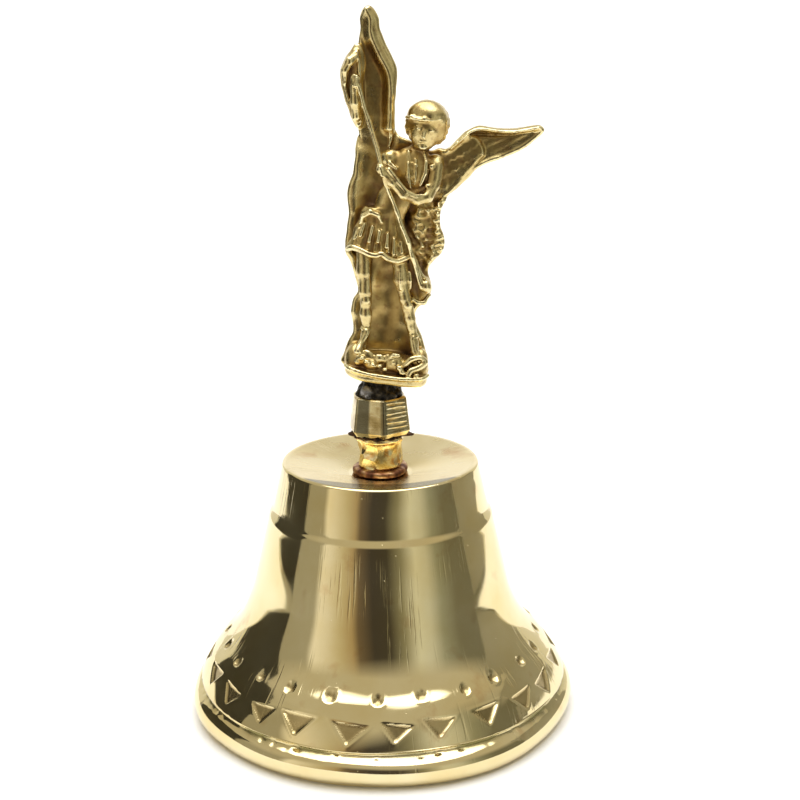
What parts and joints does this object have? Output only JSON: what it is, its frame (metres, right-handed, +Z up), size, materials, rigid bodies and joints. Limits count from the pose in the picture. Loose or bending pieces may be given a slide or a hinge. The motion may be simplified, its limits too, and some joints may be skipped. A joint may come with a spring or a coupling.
{
  "type": "hand bell",
  "caption": "Small brass hand bell: flared cup with a beaded lip, threaded neck, winged figure as the handle and a ball clapper on a ring linkage.",
  "frame": {"origin": "centre of the mouth plane, on the bell's axis, where the bell stands", "axes": "+Z up along the bell's axis through the crown; the figure faces -Y and its open wing points to +X"},
  "size_m": [0.064, 0.064, 0.1138],
  "materials": {
    "polished_brass": "polished, fine scratches, grime in the punch marks",
    "cast_brass": "cast, polished high spots, dark patina in the recesses",
    "turned_brass": "turned and filed, tool marks",
    "stained_copper": "stained, reddish brown",
    "dark_steel": "blackened, dull",
    "solder": "lumpy, matt, dark grey",
    "zinc_steel": "zinc plated, dull",
    "nut_brass": "machined, dulled",
    "wire_brass": "drawn wire, dulled",
    "clapper_brass": "cast and filed, struck spots brighter"
  },
  "bodies": {
    "bell": {"bell_cup": "polished_brass", "seat_washer": "stained_copper", "neck_collar": "turned_brass", "shim_washer": "dark_steel", "ferrule": "turned_brass", "solder_joint": "solder", "handle_stud": "dark_steel", "handle_figure": "cast_brass", "inner_washer": "zinc_steel", "clamp_nut": "nut_brass", "clapper_eye": "dark_steel"},
    "link": {"clapper_link": "wire_brass"},
    "clapper": {"clapper_shank": "dark_steel", "clapper_ball": "clapper_brass"}
  },
  "joints": [
    {"name": "link_swing", "type": "hinge", "parent": "bell", "child": "link", "pos_m": [0, 0, 0.0297], "axis": [1, 0, 0], "range_deg": [-10, 10]},
    {"name": "clapper_swing", "type": "hinge", "parent": "link", "child": "clapper", "pos_m": [0, 0, 0.0265], "axis": [0, 1, 0], "range_deg": [-45, 45]}
  ]
}
